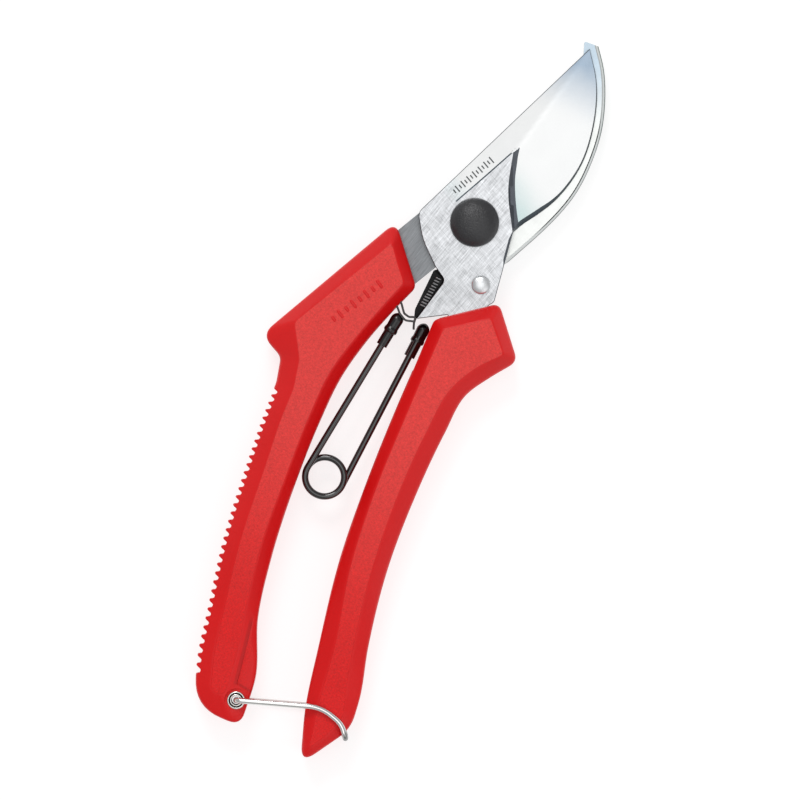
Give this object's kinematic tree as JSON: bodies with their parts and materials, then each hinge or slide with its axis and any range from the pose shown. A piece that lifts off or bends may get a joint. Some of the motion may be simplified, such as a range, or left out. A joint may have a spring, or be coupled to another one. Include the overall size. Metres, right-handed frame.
{
  "type": "pruning shears",
  "caption": "Bypass pruning shears with curved blades, moulded red grips, a hairpin spring and a wire catch, shut and latched.",
  "frame": {"origin": "middle of the shears' footprint, on the surface that the backs of the grips rest on", "axes": "+Y towards the blade tips, +Z out of the front face, where the cutting blade and the pivot cap are, +X towards the right grip"},
  "size_m": [0.0628, 0.1966, 0.014],
  "materials": {
    "grip_plastic": "fine moulded grain, bright red",
    "blade_steel": "ground and polished edge face, brushed body",
    "hook_steel": "brushed, darker than the cutting blade",
    "fastener_steel": "bright zinc, lightly worn",
    "rivet_steel": "bright domed",
    "cap_plastic": "satin black moulded",
    "buffer_rubber": "matt black ribbed",
    "spring_wire": "glossy black coated wire",
    "shoe_plastic": "black moulded",
    "clip_wire": "thin drawn steel wire",
    "catch_steel": "bright drawn steel wire",
    "eyelet_steel": "nickel plated"
  },
  "bodies": {
    "left_half": {"counter_blade": "hook_steel", "left_grip": "grip_plastic", "pivot_bolt": "fastener_steel", "bolt_washer": "fastener_steel", "thrust_washer": "fastener_steel", "disc_spring": "fastener_steel", "pivot_nut": "fastener_steel", "pivot_cap": "cap_plastic", "left_shoe_clip": "clip_wire", "catch_eyelet": "eyelet_steel", "eyelet_ring": "eyelet_steel"},
    "right_half": {"cutting_blade": "blade_steel", "right_grip": "grip_plastic", "stop_buffer": "buffer_rubber", "stop_rivet": "rivet_steel", "rivet_burr": "rivet_steel", "right_shoe_clip": "clip_wire"},
    "spring_left": {"spring_left_arm": "spring_wire", "left_spring_shoe": "shoe_plastic"},
    "spring_right": {"spring_right_arm": "spring_wire", "right_spring_shoe": "shoe_plastic"},
    "catch": {"catch_wire": "catch_steel"}
  },
  "joints": [
    {"name": "blade_pivot", "type": "hinge", "parent": "left_half", "child": "right_half", "pos_m": [0.00487, 0.04403, 0.0068], "axis": [0, 0, 1], "range_deg": [0, 24]},
    {"name": "spring_shoe_pivot", "type": "hinge", "parent": "left_half", "child": "spring_left", "pos_m": [-0.00263, 0.01293, 0.0068], "axis": [0, 0, 1], "range_deg": [0, 18.17]},
    {"name": "spring_coil", "type": "hinge", "parent": "spring_left", "child": "spring_right", "pos_m": [-0.00238, -0.03117, 0.0068], "axis": [0, 0, 1], "range_deg": [-16.67, 0]},
    {"name": "catch_swing", "type": "hinge", "parent": "left_half", "child": "catch", "pos_m": [0.00122, -0.09247, 0.0068], "axis": [0, 0, 1], "range_deg": [-192.05, 0]}
  ],
  "couplings": [
    {"joint": "spring_shoe_pivot", "follows": "blade_pivot", "ratio": 0.7568},
    {"joint": "spring_coil", "follows": "blade_pivot", "ratio": -0.6941},
    {"joint": "catch_swing", "follows": "blade_pivot", "ratio": -8}
  ]
}
